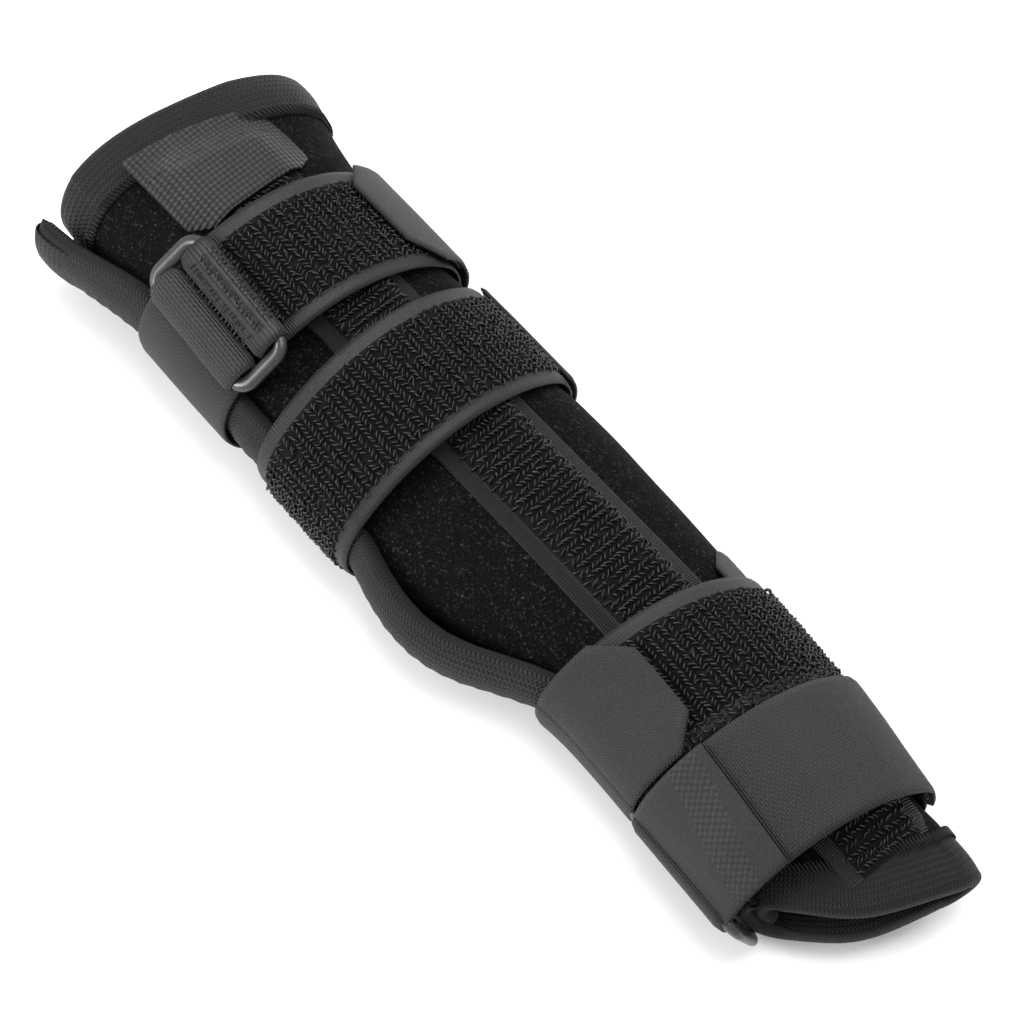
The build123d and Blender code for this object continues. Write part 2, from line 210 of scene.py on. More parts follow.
def tube_grid(rows, cols, closed=True):
    """Faces of a rows x cols grid of vertices; a closed one joins its columns and has end caps."""
    faces = []
    last = cols if closed else cols - 1
    for i in range(rows - 1):
        for j in range(last):
            k = (j + 1) % cols
            faces.append((i * cols + j, i * cols + k, (i + 1) * cols + k, (i + 1) * cols + j))
    if closed:
        faces.append(tuple(range(cols - 1, -1, -1)))
        faces.append(tuple((rows - 1) * cols + j for j in range(cols)))
    return faces


def smoothstep(a, b, x):
    """0 at a, 1 at b and eased between; x may be an array."""
    t = np.clip((np.asarray(x, float) - a) / (b - a), 0, 1)
    return t * t * (3 - 2 * t)


def step(a, b, x):
    """smoothstep of a single number, without numpy's overhead."""
    t = min(1.0, max(0.0, (x - a) / (b - a)))
    return t * t * (3 - 2 * t)


def wobble(x, y, seed):
    """A cheap smooth ripple, between -1 and 1."""
    return (np.sin(x * 0.11 + y * 0.05 + seed) + np.sin(x * 0.047 - y * 0.13 + seed * 2.1)
            + np.sin(x * 0.23 + y * 0.19 + seed * 0.7)) / 3


# ---- materials ------------------------------------------------------------------------------------

class Nodes:
    """One material and short names for the shader nodes it is made of."""

    def __init__(self, name):
        self.mat = bpy.data.materials.new(name)
        self.mat.use_nodes = True
        self.t = self.mat.node_tree
        self.bsdf = self.t.nodes["Principled BSDF"]
        self.uv = None

    def put(self, socket, value):
        if hasattr(value, "is_output"):
            self.t.links.new(value, socket)
        else:
            socket.default_value = value

    def m(self, op, a, b=None, c=None):
        n = self.t.nodes.new("ShaderNodeMath")
        n.operation = op
        for s, v in zip(n.inputs, (a, b, c)):
            if v is not None:
                self.put(s, v)
        return n.outputs[0]

    def mm(self):
        """(u, v) of the UV map in millimetres."""
        if self.uv is None:
            n = self.t.nodes.new("ShaderNodeUVMap")
            n.uv_map = "UVMap"
            s = self.t.nodes.new("ShaderNodeSeparateXYZ")
            self.t.links.new(n.outputs[0], s.inputs[0])
            self.uv = self.m("MULTIPLY", s.outputs[0], 100.0), self.m("MULTIPLY", s.outputs[1], 100.0)
        return self.uv

    def noise(self, scale, detail=2.0, rough=0.5):
        n = self.t.nodes.new("ShaderNodeTexNoise")
        c = self.t.nodes.new("ShaderNodeTexCoord")
        self.t.links.new(c.outputs["Object"], n.inputs["Vector"])
        n.inputs["Scale"].default_value = scale
        n.inputs["Detail"].default_value = detail
        n.inputs["Roughness"].default_value = rough
        return n.outputs["Fac"]

    def sine(self, value, period):
        return self.m("SINE", self.m("MULTIPLY_ADD", value, 2 * math.pi / period, 0.0))

    def ramp(self, fac, stops):
        """A grey, very slightly blue, from (position, lightness) stops."""
        n = self.t.nodes.new("ShaderNodeValToRGB")
        while len(n.color_ramp.elements) < len(stops):
            n.color_ramp.elements.new(0.5)
        for e, (pos, v) in zip(n.color_ramp.elements, stops):
            e.position = pos
            e.color = (v, v, v * 1.02, 1)
        self.put(n.inputs[0], fac)
        return n.outputs[0]

    def bump(self, height, distance, strength=1.0):
        n = self.t.nodes.new("ShaderNodeBump")
        n.inputs["Strength"].default_value = strength
        n.inputs["Distance"].default_value = distance
        self.put(n.inputs["Height"], height)
        return n.outputs[0]

    def finish(self, color, rough, normal=None, sheen=0.0, specular=0.5, sheen_rough=0.4, metallic=0.0):
        self.put(self.bsdf.inputs["Base Color"], color)
        self.put(self.bsdf.inputs["Roughness"], rough)
        self.bsdf.inputs["Specular IOR Level"].default_value = specular
        self.bsdf.inputs["Sheen Weight"].default_value = sheen
        self.bsdf.inputs["Sheen Roughness"].default_value = sheen_rough
        self.bsdf.inputs["Metallic"].default_value = metallic
        if normal is not None:
            self.put(self.bsdf.inputs["Normal"], normal)
        return self.mat


def pile_material():
    n = Nodes("loop_pile")
    fine = n.noise(1250, 3, 0.75)
    clumps = n.noise(300, 2, 0.6)
    h = n.m("MULTIPLY_ADD", clumps, 0.5, fine)
    shade = n.m("MULTIPLY_ADD", clumps, 0.15, n.m("MULTIPLY", fine, 0.85))
    color = n.ramp(shade, [(0.42, 0.0008), (0.57, 0.003), (0.68, 0.045)])
    return n.finish(color, 0.95, n.bump(h, 0.0007), sheen=0.015, specular=0.08, sheen_rough=0.5)


def knit_material():
    n = Nodes("knit_binding")
    u, v = n.mm()
    zig = n.m("MULTIPLY", n.m("PINGPONG", v, 0.9), 0.9)
    courses = n.sine(n.m("ADD", u, zig), 1.15)
    wales = n.sine(v, 1.8)
    soft = n.noise(90, 2)
    h = n.m("MULTIPLY_ADD", courses, 0.7, n.m("MULTIPLY", wales, 0.35))
    shade = n.m("MULTIPLY_ADD", h, 0.22, n.m("MULTIPLY_ADD", soft, 0.4, 0.3))
    color = n.ramp(shade, [(0.2, 0.002), (0.55, 0.006), (0.85, 0.013)])
    return n.finish(color, 0.6, n.bump(h, 0.0002), sheen=0.02, specular=0.2)


def ground_material():
    """Black cloth that the loops stand on."""
    n = Nodes("loop_ground")
    u, v = n.mm()
    weave = n.m("MULTIPLY", n.sine(u, 0.9), n.sine(v, 0.9))
    color = n.ramp(n.noise(300, 2), [(0.3, 0.001), (0.8, 0.004)])
    return n.finish(color, 0.8, n.bump(weave, 0.0002, 0.8), specular=0.15)


def selvedge_material():
    n = Nodes("selvedge")
    u, _ = n.mm()
    ribs = n.sine(u, 0.72)
    fine = n.noise(2200, 2)
    shade = n.m("MULTIPLY_ADD", ribs, 0.3, n.m("MULTIPLY_ADD", fine, 0.3, 0.35))
    color = n.ramp(shade, [(0.1, 0.003), (0.6, 0.009), (0.95, 0.015)])
    return n.finish(color, 0.5, n.bump(ribs, 0.00018, 0.9), sheen=0.02, specular=0.28)


def yarn_material():
    n = Nodes("loop_yarn")
    color = n.ramp(n.noise(900, 2), [(0.3, 0.001), (0.6, 0.003), (0.8, 0.009)])
    return n.finish(color, 0.36, n.bump(n.noise(6000, 2), 0.0001, 0.6), specular=0.42)


def webbing_material(name, grey, rib, rib_depth, across=0.9, fuzz=0.3):
    """Woven grey tape: ribs across it every rib millimetres."""
    n = Nodes(name)
    u, v = n.mm()
    ribs = n.sine(u, rib)
    yarns = n.sine(v, across)
    checks = n.m("MULTIPLY", n.sine(u, rib * 2), n.sine(v, across * 2))
    fine = n.noise(3200, 2, 0.6)
    patches = n.noise(45, 3, 0.6)
    weave = n.m("MULTIPLY", n.m("MULTIPLY_ADD", yarns, 0.35, checks), 0.35)
    h = n.m("MULTIPLY_ADD", fine, fuzz, n.m("MULTIPLY_ADD", ribs, rib_depth, weave))
    shade = n.m("MULTIPLY_ADD", h, 0.3, n.m("MULTIPLY_ADD", patches, 0.25, 0.28))
    color = n.ramp(shade, [(0.1, 0.25 * grey), (0.5, grey), (0.95, 2.2 * grey)])
    return n.finish(color, 0.58, n.bump(h, 0.0003), sheen=0.02, specular=0.27)


def box_stitch_material(length):
    """Fine weave with a slanting band of sewn checks short of the end of the doubled layer."""
    n = Nodes("box_stitch")
    u, v = n.mm()
    weave = n.m("MULTIPLY", n.sine(u, 0.62), n.sine(v, 0.9))
    checks = n.m("SIGN", n.m("MULTIPLY", n.sine(u, 2.4), n.sine(v, 2.1)))
    place = n.m("ADD", u, n.m("MULTIPLY", v, 0.18))
    after, before = n.m("GREATER_THAN", place, length - 14.5), n.m("LESS_THAN", place, length - 5.0)
    band = n.m("MULTIPLY", after, before)
    h = n.m("MULTIPLY_ADD", n.m("MULTIPLY", checks, band), 0.8, n.m("MULTIPLY", weave, 0.4))
    h = n.m("MULTIPLY_ADD", n.noise(3200, 2), 0.3, h)
    shade = n.m("MULTIPLY_ADD", h, 0.16, n.m("MULTIPLY_ADD", n.noise(45, 3), 0.25, 0.3))
    color = n.ramp(shade, [(0.1, 0.006), (0.5, 0.018), (0.9, 0.055)])
    return n.finish(color, 0.58, n.bump(h, 0.00035), sheen=0.02, specular=0.27)


def basket_material():
    """Coarse basket weave of the pocket tab."""
    n = Nodes("basket_weave")
    u, v = n.mm()
    a = n.sine(n.m("ADD", u, v), 3.0)
    b = n.sine(n.m("SUBTRACT", u, v), 3.0)
    cells = n.m("MULTIPLY", a, b)
    fine = n.noise(2600, 2)
    h = n.m("MULTIPLY_ADD", fine, 0.3, cells)
    shade = n.m("MULTIPLY_ADD", h, 0.3, n.m("MULTIPLY_ADD", n.noise(60, 2), 0.3, 0.28))
    color = n.ramp(shade, [(0.1, 0.002), (0.5, 0.016), (0.9, 0.06)])
    return n.finish(color, 0.5, n.bump(h, 0.00045), sheen=0.02, specular=0.3)


def hook_material():
    n = Nodes("hook_tape")
    u, v = n.mm()
    hooks = n.m("MULTIPLY", n.sine(u, 1.4), n.sine(v, 1.1))
    color = n.ramp(n.m("MULTIPLY_ADD", hooks, 0.4, 0.45), [(0.1, 0.01), (0.9, 0.05)])
    return n.finish(color, 0.5, n.bump(hooks, 0.0005))


def lining_material():
    n = Nodes("lining")
    fine = n.noise(1800, 3)
    color = n.ramp(fine, [(0.3, 0.008), (0.8, 0.022)])
    return n.finish(color, 0.85, n.bump(fine, 0.0003, 0.6), sheen=0.15, specular=0.2)


def plastic_material(name, base, rough):
    n = Nodes(name)
    scuff = n.noise(160, 4, 0.65)
    color = n.ramp(scuff, [(0.35, base * 0.9), (0.7, base * 1.15)])
    r = n.m("MULTIPLY_ADD", scuff, 0.22, rough - 0.1)
    return n.finish(color, r, n.bump(n.noise(1400, 2), 0.00004, 0.35))


def metal_material():
    n = Nodes("stay_metal")
    brush = n.noise(900, 3)
    r = n.m("MULTIPLY_ADD", brush, 0.2, 0.25)
    color = n.ramp(brush, [(0.3, 0.55), (0.7, 0.7)])
    return n.finish(color, r, n.bump(brush, 0.00003, 0.4), metallic=1.0)


def thread_material():
    n = Nodes("thread")
    twist = n.noise(3500, 2)
    color = n.ramp(twist, [(0.3, 0.010), (0.8, 0.035)])
    return n.finish(color, 0.5, n.bump(twist, 0.0001, 0.6), specular=0.4)


PILE, KNIT, GROUND = pile_material(), knit_material(), ground_material()
SELVEDGE, YARN = selvedge_material(), yarn_material()
GREY_FINE = webbing_material("grey_fine_weave", 0.018, 0.62, 0.6)
GREY_RIBBED = webbing_material("grey_ribbed_weave", 0.015, 0.72, 1.3)
GREY_TAB = webbing_material("grey_tab", 0.016, 0.55, 0.3, 0.55, 0.7)
BASKET, HOOKS, LINING, THREAD = basket_material(), hook_material(), lining_material(), thread_material()
RING, TIP = plastic_material("ring_plastic", 0.022, 0.28), plastic_material("tip_plastic", 0.01, 0.5)
METAL = metal_material()


# ---- straps ---------------------------------------------------------------------------------------

class Layer:
    """One layer of a strap: stations along it, and its height above the track at each."""

    def __init__(self, middle, skew, runs, width=STRAP_WIDTH):
        self.middle, self.skew, self.half = middle, skew, width / 2
        self.stations, heights = [], []
        for start, end, height in runs:
            run = run_stations(start, end)
            self.stations += run
            heights += [height] * len(run)
        self.heights = np.array(heights, float)
        if len(runs) > 1:
            ease = np.array([1, 2, 3, 2, 1.0])
            self.heights = np.convolve(np.pad(self.heights, 2, mode="edge"), ease / ease.sum(), mode="valid")
        self.ws = np.linspace(-self.half, self.half, 9)
        self.grid = np.array([[self.at(i, w) for w in self.ws] for i in range(len(self.stations))])
        self.up = np.array([[self.normal(i, w) for w in self.ws] for i in range(len(self.stations))])
        mid = self.grid[:, 4, :]
        self.s = np.concatenate([[0], np.cumsum(np.linalg.norm(np.diff(mid, axis=0), axis=1))])
        keep = np.concatenate([[True], np.diff(self.s) > 1e-4])
        self.s, self.grid, self.up = self.s[keep], self.grid[keep], self.up[keep]
        self.length = self.s[-1]

    def at(self, i, w):
        y, z, _, _ = on_strap(self.middle + w, self.stations[i], self.heights[i])
        return self.middle + w + self.skew * y, y, z

    def normal(self, i, w):
        _, _, ny, nz = on_strap(self.middle + w, self.stations[i], 0.0)
        return 0.0, ny, nz

    def sample(self, s, w, off):
        """Points and normals at arrays of distance along, place across and height above the underside."""
        s, w = np.broadcast_arrays(np.asarray(s, float), np.asarray(w, float))
        i = np.clip(np.searchsorted(self.s, s) - 1, 0, len(self.s) - 2)
        t = ((s - self.s[i]) / (self.s[i + 1] - self.s[i]))[..., None]
        f = (w + self.half) / (2 * self.half) * (len(self.ws) - 1)
        j = np.clip(f.astype(int), 0, len(self.ws) - 2)
        q = (f - j)[..., None]

        def mix(g):
            a = g[i, j] * (1 - q) + g[i, j + 1] * q
            b = g[i + 1, j] * (1 - q) + g[i + 1, j + 1] * q
            return a * (1 - t) + b * t
        p, n = mix(self.grid), mix(self.up)
        n = n / np.linalg.norm(n, axis=-1, keepdims=True)
        return p + n * np.asarray(off, float)[..., None], n


def name_seed(name):
    return sum(ord(c) for c in name) % 17


def tape(name, layer, thickness, mats, tip=0.0, selvedge=None, cols=25, ripple=0.0):
    """A flat tape along a layer, with rounded long edges.

    tip is the size of the cut at its end's corners. Within selvedge of its long edges, and on its
    underside, the tape takes the second of its materials.
    """
    end, pitch, rounded, soften = layer.length, 1.6, 0.8, 0.35
    ss = np.linspace(0.0, end, max(6, int(end / pitch)))
    if tip:
        ss = np.unique(np.concatenate([ss, [end - tip]]))
    across = np.linspace(-1, 1, cols)
    verts, uvs = [], []
    for s in ss:
        half = layer.half
        if tip:
            half = min(half, layer.half - tip * 0.999 + max(0.0, end - s))
        w = across * half
        roundness = 1 - np.clip((np.abs(across) * half - (half - rounded)) / rounded, 0, 1) ** 2 * 0.75
        lift = ripple * wobble(s, w, name_seed(name))
        top, _ = layer.sample(np.full(cols, s), w, thickness * (0.5 + 0.5 * roundness) + lift)
        low, _ = layer.sample(np.full(cols, s), w, thickness * (0.5 - 0.5 * roundness) * soften + lift)
        verts += [*top, *low[::-1]]
        uvs += [(s, x) for x in w] + [(s, x) for x in w[::-1]]
    face_mats = None
    if selvedge is not None:
        middles = np.abs(across[:-1] + across[1:]) / 2 * layer.half
        row = [int(c > layer.half - selvedge) for c in middles] + [1] * (cols + 1)
        face_mats = row * (len(ss) - 1) + [1, 1]
    return new_object(name, verts, tube_grid(len(ss), 2 * cols), uvs, mats, face_mats)


LOOP_PITCH, COLUMN_PITCH, LOOP_SLANT = 1.95, 1.4, math.radians(42)
LOOP_SIDES = 4
LOOP_STEPS = np.array([-0.5, -0.34, 0.0, 0.34, 0.5])     # places along a loop, over its length
LOOP_RISE = np.array([-0.15, 0.62, 1.0, 0.62, -0.15])    # heights there, over its own height


def loops(name, sampler, s0, s1, w0, w1, height, inside=None, size=1.0):
    """Columns of yarn loops across a tape, slanted by turns. sampler(s, w, off) gives points and normals."""
    ns, nw = int((s1 - s0) / LOOP_PITCH), int((w1 - w0) / COLUMN_PITCH)
    col = np.arange(ns)
    s, w = np.meshgrid(s0 + (col + 0.5) * (s1 - s0) / ns, w0 + (np.arange(nw) + 0.5) * (w1 - w0) / nw,
                       indexing="ij")
    odd = np.broadcast_to((col % 2)[:, None], s.shape)
    s = s + rng.normal(0, 0.10, s.shape)
    w = w + odd * COLUMN_PITCH * 0.5 + rng.normal(0, 0.12, s.shape)
    kept = (s > s0 + 0.2) & (s < s1 - 0.2) & (rng.random(s.shape) > 0.03)
    if inside is not None:
        kept &= inside(s, w)
    s, w, turn = s[kept], w[kept], np.where(odd == 0, 1.0, -1.0)[kept]
    n = len(s)
    angle = LOOP_SLANT * turn + rng.normal(0, 0.22, n)
    length = (1.95 + rng.normal(0, 0.22, n)) * size
    tall = (0.85 + rng.normal(0, 0.16, n)) * size
    thick = (0.30 + rng.normal(0, 0.03, n)) * size
    lean = rng.normal(0, 0.16, n)
    centre = []
    for t, h in zip(LOOP_STEPS, LOOP_RISE):
        along, over = s + np.sin(angle) * length * t, w + np.cos(angle) * length * t
        centre.append(sampler(along, over + lean * (h > 0.5), height + h * tall))
    verts = np.zeros((n, len(LOOP_STEPS), LOOP_SIDES, 3))
    for k, (p, nrm) in enumerate(centre):
        tan = centre[min(k + 1, len(centre) - 1)][0] - centre[max(k - 1, 0)][0]
        tan /= np.linalg.norm(tan, axis=-1, keepdims=True)
        side = np.cross(nrm, tan)
        side /= np.linalg.norm(side, axis=-1, keepdims=True)
        up = np.cross(tan, side)
        for q in range(LOOP_SIDES):
            c = 2 * math.pi * q / LOOP_SIDES
            verts[:, k, q, :] = p + (side * math.cos(c) + up * math.sin(c)) * thick[:, None]
    one = np.array(tube_grid(len(LOOP_STEPS), LOOP_SIDES)[:-2])
    faces = (one[None] + (np.arange(n) * len(LOOP_STEPS) * LOOP_SIDES)[:, None, None]).reshape(-1, 4)
    return new_object(name, verts.reshape(-1, 3), faces, None, [YARN])


def sleeve(name, middle, skew, ring_angle, side, way, thickness, mat, with_loops, flat):
    """Tape folded round a ring bar, drawn out by flat towards the middle of the ring."""
    at = ring_frame(middle, skew, ring_angle, way)
    origin = at @ Vector((0, side * (BAR_OFF - flat), 0))
    ax, uy, uz = ((at.to_3x3() @ Vector(v)).normalized() for v in ((1, 0, 0), (0, 1, 0), (0, 0, 1)))
    rows, across = 40, 18
    cols = 2 * across
    verts, uvs = [], []
    inner = RING_BAR / 2 + SLEEVE_ROOM
    outer = inner + thickness
    for i in range(rows):
        a = 2 * math.pi * i / rows
        d = uy * (math.cos(a) * (1 + flat / outer)) + uz * math.sin(a)
        for r, order in ((outer, range(across)), (inner, range(across - 1, -1, -1))):
            for j in order:
                w = (j / (across - 1) - 0.5) * SLEEVE_LENGTH
                past = max(0.0, (abs(w) - SLEEVE_LENGTH / 2 + 0.8) / 0.8)
                edge = 1 - 0.5 * past ** 2 * (1 if r == outer else 0)
                verts.append(origin + ax * w + d * (inner + (r - inner) * edge))
                uvs.append((a * outer, w))
    faces = []
    for i in range(rows):
        for j in range(cols):
            k, n = (j + 1) % cols, (i + 1) % rows
            faces.append((i * cols + j, i * cols + k, n * cols + k, n * cols + j))
    obj = new_object(name, verts, faces, uvs, [mat])
    if not with_loops:
        return obj, None

    def sampler(s, w, off):
        a = np.asarray(s) / outer
        d = np.cos(a)[:, None] * np.array(uy) * (1 + flat / outer) + np.sin(a)[:, None] * np.array(uz)
        p = np.array(origin) + np.asarray(w)[:, None] * np.array(ax) + d * (outer + np.asarray(off))[:, None]
        return p, d
    reach = SLEEVE_LENGTH / 2 - 4.5
    return obj, loops(name + "_loops", sampler, 0, 2 * math.pi * outer, -reach, reach, 0.0, size=0.75)


def ring_frame(middle, skew, angle, way):
    """Placement of a ring: its bars along local x, the strap's run along y, away from the wrap along z."""
    def point(x):
        y, z, _, _ = on_strap(x, angle, RING_OFF if angle < 200 else RING_OFF_LOW)
        return Vector((x + skew * y, y, z))
    a, b = point(middle - STRAP_WIDTH / 2), point(middle + STRAP_WIDTH / 2)
    along = (b - a).normalized()
    out = Vector((0, math.cos(math.radians(angle)), math.sin(math.radians(angle))))
    out = (out - along * out.dot(along)).normalized()
    x_dir = along * -way
    y_dir = out.cross(x_dir)
    m = Matrix((x_dir, y_dir, out)).transposed().to_4x4()
    m.translation = (a + b) / 2
    return m


def ring_mesh(name, middle, skew, angle, way):
    """Moulded plastic ring: a rounded rectangle with thick ends."""
    at = ring_frame(middle, skew, angle, way)
    x0, y0 = RING_LENGTH / 2 - RING_CORNER, RING_WIDTH / 2 - RING_CORNER
    path, sides = [], 14
    for cx, cy, a0 in ((x0, y0, 0), (-x0, y0, 90), (-x0, -y0, 180), (x0, -y0, 270)):
        for a in np.radians(np.linspace(a0, a0 + 90, 9)):
            nx, ny = math.cos(a), math.sin(a)
            path.append((cx + RING_CORNER * nx, cy + RING_CORNER * ny, nx, ny))
    verts = []
    for x, y, nx, ny in path:
        wide = 1.7 + 0.5 * nx * nx
        for q in range(sides):
            c = 2 * math.pi * q / sides
            out, up = wide * math.cos(c), 1.6 * math.sin(c)
            verts.append(at @ Vector((x + nx * out, y + ny * out, up)))
    faces = []
    for i in range(len(path)):
        here, there = i * sides, (i + 1) % len(path) * sides
        for j in range(sides):
            k = (j + 1) % sides
            faces.append((here + j, here + k, there + k, there + j))
    return new_object(name, verts, faces, None, [RING])


def keep(obj, body, *nodes, slot=None):
    """Ride a piece on a body; nodes are the CAD pieces that it stands for."""
    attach(obj, body)
    if nodes:
        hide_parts(*nodes)
    return obj


# band, web and fold are runs of (start angle, end angle, height); tab is (hinge angle, tip angle) and
# anchor is (start angle, end angle, x0, x1). low lowers a closure; a bare band has one selvedge only.
STRAPS = {
    "a": dict(middle=-85.0, skew=0.07, way=1, ring=123.0, band=[(112.0, -60.0, BAND_AT)],
              web=[(132.0, 232.0, LOW_AT), (250.0, 366.0, WEB_AT)], tab=(366.6, 414.0),
              anchor=(-25, 25, -99, -71)),
    "b": dict(middle=-36.0, skew=0.0, way=-1, low=0.9, band=[(-22.0, -360.0, BAND_AT)],
              web=[(-339.0, -370.4, WEB_AT - 0.9)], tab=(-370.8, -421.0), anchor=(-58, -3, -50, -22)),
    "c": dict(middle=71.0, skew=0.17, way=-1, bare=True, band=[(190.0, -62.0, BAND_AT)],
              web=[(-50.0, -192.0, WEB_AT)], tab=(-192.6, -252.0), anchor=(5, 50, 41, 76)),
    "d": dict(middle=109.6, skew=0.135, way=-1, ring=206.0, band=[(236.0, 368.0, BAND_AT)],
              web=[(180.0, 16.0, WEB_AT)], fold=[(178.0, 112.0, WEB_AT + WEB)], tab=(15.4, -42.0),
              anchor=(-38, 20, 95, 122)),
}
TIP_CUT, ANCHOR_CUT = 8.0, 6.0


def make_strap(key, d):
    mid, skew, way = d["middle"], d["skew"], d["way"]
    pre, body = f"strap_{key}_", "splint"
    grey = GREY_RIBBED if key == "d" else GREY_FINE
    cloth = BAND * CLOTH_SHARE

    band = Layer(mid, skew, d["band"])
    obj = tape(pre + "band_cloth", band, cloth, [GROUND, SELVEDGE], selvedge=SELVEDGE_WIDTH, cols=27,
               ripple=0.12)
    keep(obj, body, pre + "loop_band", slot="loop_tape")
    far_side = 18.4 if d.get("bare") else LOOPS_HALF
    fluff = loops(pre + "band_loops", band.sample, 0, band.length, -LOOPS_HALF, far_side, cloth)
    keep(fluff, body, slot="loop_tape")

    web = Layer(mid, skew, d["web"])
    obj = tape(pre + "web", web, WEB, [grey], ripple=0.12)
    keep(obj, body, pre + "webbing", slot="grey_webbing")

    hinge, tip = d["tab"]
    low = d.get("low", 0.0)
    tab = Layer(mid, skew, [(hinge, tip, WEB_AT - low)])
    obj = tape(pre + "tab_cloth", tab, WEB, [GREY_TAB], tip=TIP_CUT, ripple=0.08)
    keep(obj, pre + "tab", pre + "tab", slot="grey_webbing")

    patch_width = STRAP_WIDTH - 3
    patch = Layer(mid, skew, [(hinge + way * 6, tip - way * 3, HOOK_AT - low)], width=patch_width)
    obj = tape(pre + "hooks", patch, HOOK, [HOOKS], tip=TIP_CUT)
    keep(obj, pre + "tab", pre + "hook_patch", slot="hook_tape")

    a0, a1, x0, x1 = d["anchor"]
    anchor = Layer((x0 + x1) / 2, skew, [(a0, a1, ANCHOR_AT)], width=x1 - x0)
    obj = tape(pre + "anchor_cloth", anchor, ANCHOR, [GREY_TAB], tip=ANCHOR_CUT)
    keep(obj, body, pre + "anchor", slot="hook_tape")

    if "fold" in d:
        fold = Layer(mid, skew, d["fold"])
        obj = tape(pre + "web_fold", fold, WEB, [box_stitch_material(fold.length)], ripple=0.08)
        keep(obj, body, slot="grey_webbing")
    if "ring" in d:
        loopy = key == "a"
        obj, fluff = sleeve(pre + "band_sleeve", mid, skew, d["ring"], -1, way, 0.9, SELVEDGE,
                            with_loops=loopy, flat=2.6 if loopy else 0.0)
        keep(obj, body, slot="loop_tape")
        if loopy:
            keep(fluff, body, slot="loop_tape")
        obj, _ = sleeve(pre + "web_sleeve", mid, skew, d["ring"], 1, way, WEB, grey, with_loops=False,
                        flat=2.6)
        keep(obj, body, slot="grey_webbing")
        obj = ring_mesh(pre + "ring_visual", mid, skew, d["ring"], way)
        keep(obj, pre + "ring", pre + "ring", slot="ring_plastic")


for key, d in STRAPS.items():
    make_strap(key, d)


# ---- the wrap -------------------------------------------------------------------------------------

def far_edge(y):
    """x of the panel's forearm end at y: two slanting lines with an eased corner."""
    a = X_FAR + 1 + 19 * (y + 20) / 80
    b = X_FAR + 1 + 8 * (-20 - y) / 40
    return np.logaddexp(a * 0.35, b * 0.35) / 0.35


def near_edge(y):
    """x of the panel's hand end at y: three lines with eased corners."""
    a = X_NEAR - 9 - 43 * (-12 - y) / 36
    b = X_NEAR + 1 - 10 * (24 - y) / 36
    c = X_NEAR + 1
    return -np.logaddexp(np.logaddexp(-a * 0.3, -b * 0.3), -c * 0.3) / 0.3


COUNTS = (22, 46, 40, 24, 44)    # samples on each arc: inner edge, top, right side, underside, outer lip
INNER, TOP, SIDE, UNDER, LIP = range(5)


def lip_end(x):
    """Normal angle of the lip's edge: it stops lower at the forearm end."""
    return LIP_END + 16.0 * step(-102.0, -150.0, x)


def lip_spread(x, f):
    """How far the lip hangs away from the panel: between two straps, and at the forearm end."""
    middle = 5.2 * math.sin(math.pi * min(1.0, max(0.0, (x + 17.0) / 66.0))) ** 1.3
    end = 5.5 * step(-104.0, -150.0, x)
    return (middle + end) * step(0.05, 0.5, f)


def drop(x, k, f):
    """The top of the hand end is pressed down towards the underside."""
    share = {INNER: 0.6, TOP: 1.0, SIDE: 1.0 - f, UNDER: 0.0, LIP: 0.0}[k]
    return 4.5 * step(120.0, 153.0, x) * share


def chain_point(x, k, f, off):
    """Point of the wrap's surface: arc k of its chain at share f, moved out by off."""
    arcs = wrap_arcs(x)
    if k == UNDER:
        y = arcs[2][0] + (arcs[3][0] - arcs[2][0]) * f
        return y, arcs[2][1] - arcs[2][2] - off
    cy, cz, r, a0, a1 = arcs[min(k, 3)]
    if k == LIP:
        a1 = lip_end(x)
    a = math.radians(a0 + (a1 - a0) * f)
    y, z = cy + (r + off) * math.cos(a), cz + (r + off) * math.sin(a)
    if k == LIP:
        out = lip_spread(x, f)
        y, z = y - out, z - 0.35 * out
    right = {TOP: step(0.45, 1.0, f), SIDE: 1.0 - step(0.35, 0.9, f)}.get(k, 0.0)
    far = step(-100.0, -138.0, x)
    near = step(122.0, 152.0, x)
    middle = math.sin(math.pi * min(1.0, f * 1.25)) if k == TOP else 0.0
    y += right * (5.5 * far + 3.0 * near)
    z += right * 0.8 * far - 2.2 * middle * far
    return y, z - drop(x, k, f)


def chain_samples():
    """(arc, share) of each line along the wrap, from its inner edge round to the lip."""
    out = []
    for k, n in enumerate(COUNTS):
        for i in range(n + (k == len(COUNTS) - 1)):
            out.append((k, i / n))
    return out


SAMPLES = chain_samples()


def ends_at(k, f):
    """Where the wrap's two ends cut this line of the chain."""
    xf, xn = X_FAR + 8.0, X_NEAR - 8.0
    reach = (-3.0, -3.0 + 5.5 * f, 2.5 - 1.5 * f, 1.0 - 1.5 * f, -0.5)[k]
    for _ in range(12):
        xf = 0.5 * xf + 0.5 * float(far_edge(chain_point(xf, k, f, 0)[0]))
        xn = 0.5 * xn + 0.5 * (float(near_edge(chain_point(xn, k, f, 0)[0])) + reach)
    return xf, xn


ENDS = [ends_at(k, f) for k, f in SAMPLES]
STRAP_SPANS = [(d["middle"] - STRAP_WIDTH / 2, d["middle"] + STRAP_WIDTH / 2, d["skew"])
               for d in STRAPS.values()]


def puff(x, y):
    """How far the padding stands out: less under the straps, more between them and towards the ends."""
    out = 0.35
    for a, b, skew in STRAP_SPANS:
        xx = x - skew * y
        out -= 0.75 * (smoothstep(a - 7, a + 2, xx) - smoothstep(b - 2, b + 7, xx))
    return out


REST_LINE = [chain_point(0, k, f, 0) for k, f in SAMPLES]
S_MM = np.concatenate([[0], np.cumsum([math.dist(p, q) for p, q in zip(REST_LINE, REST_LINE[1:])])])


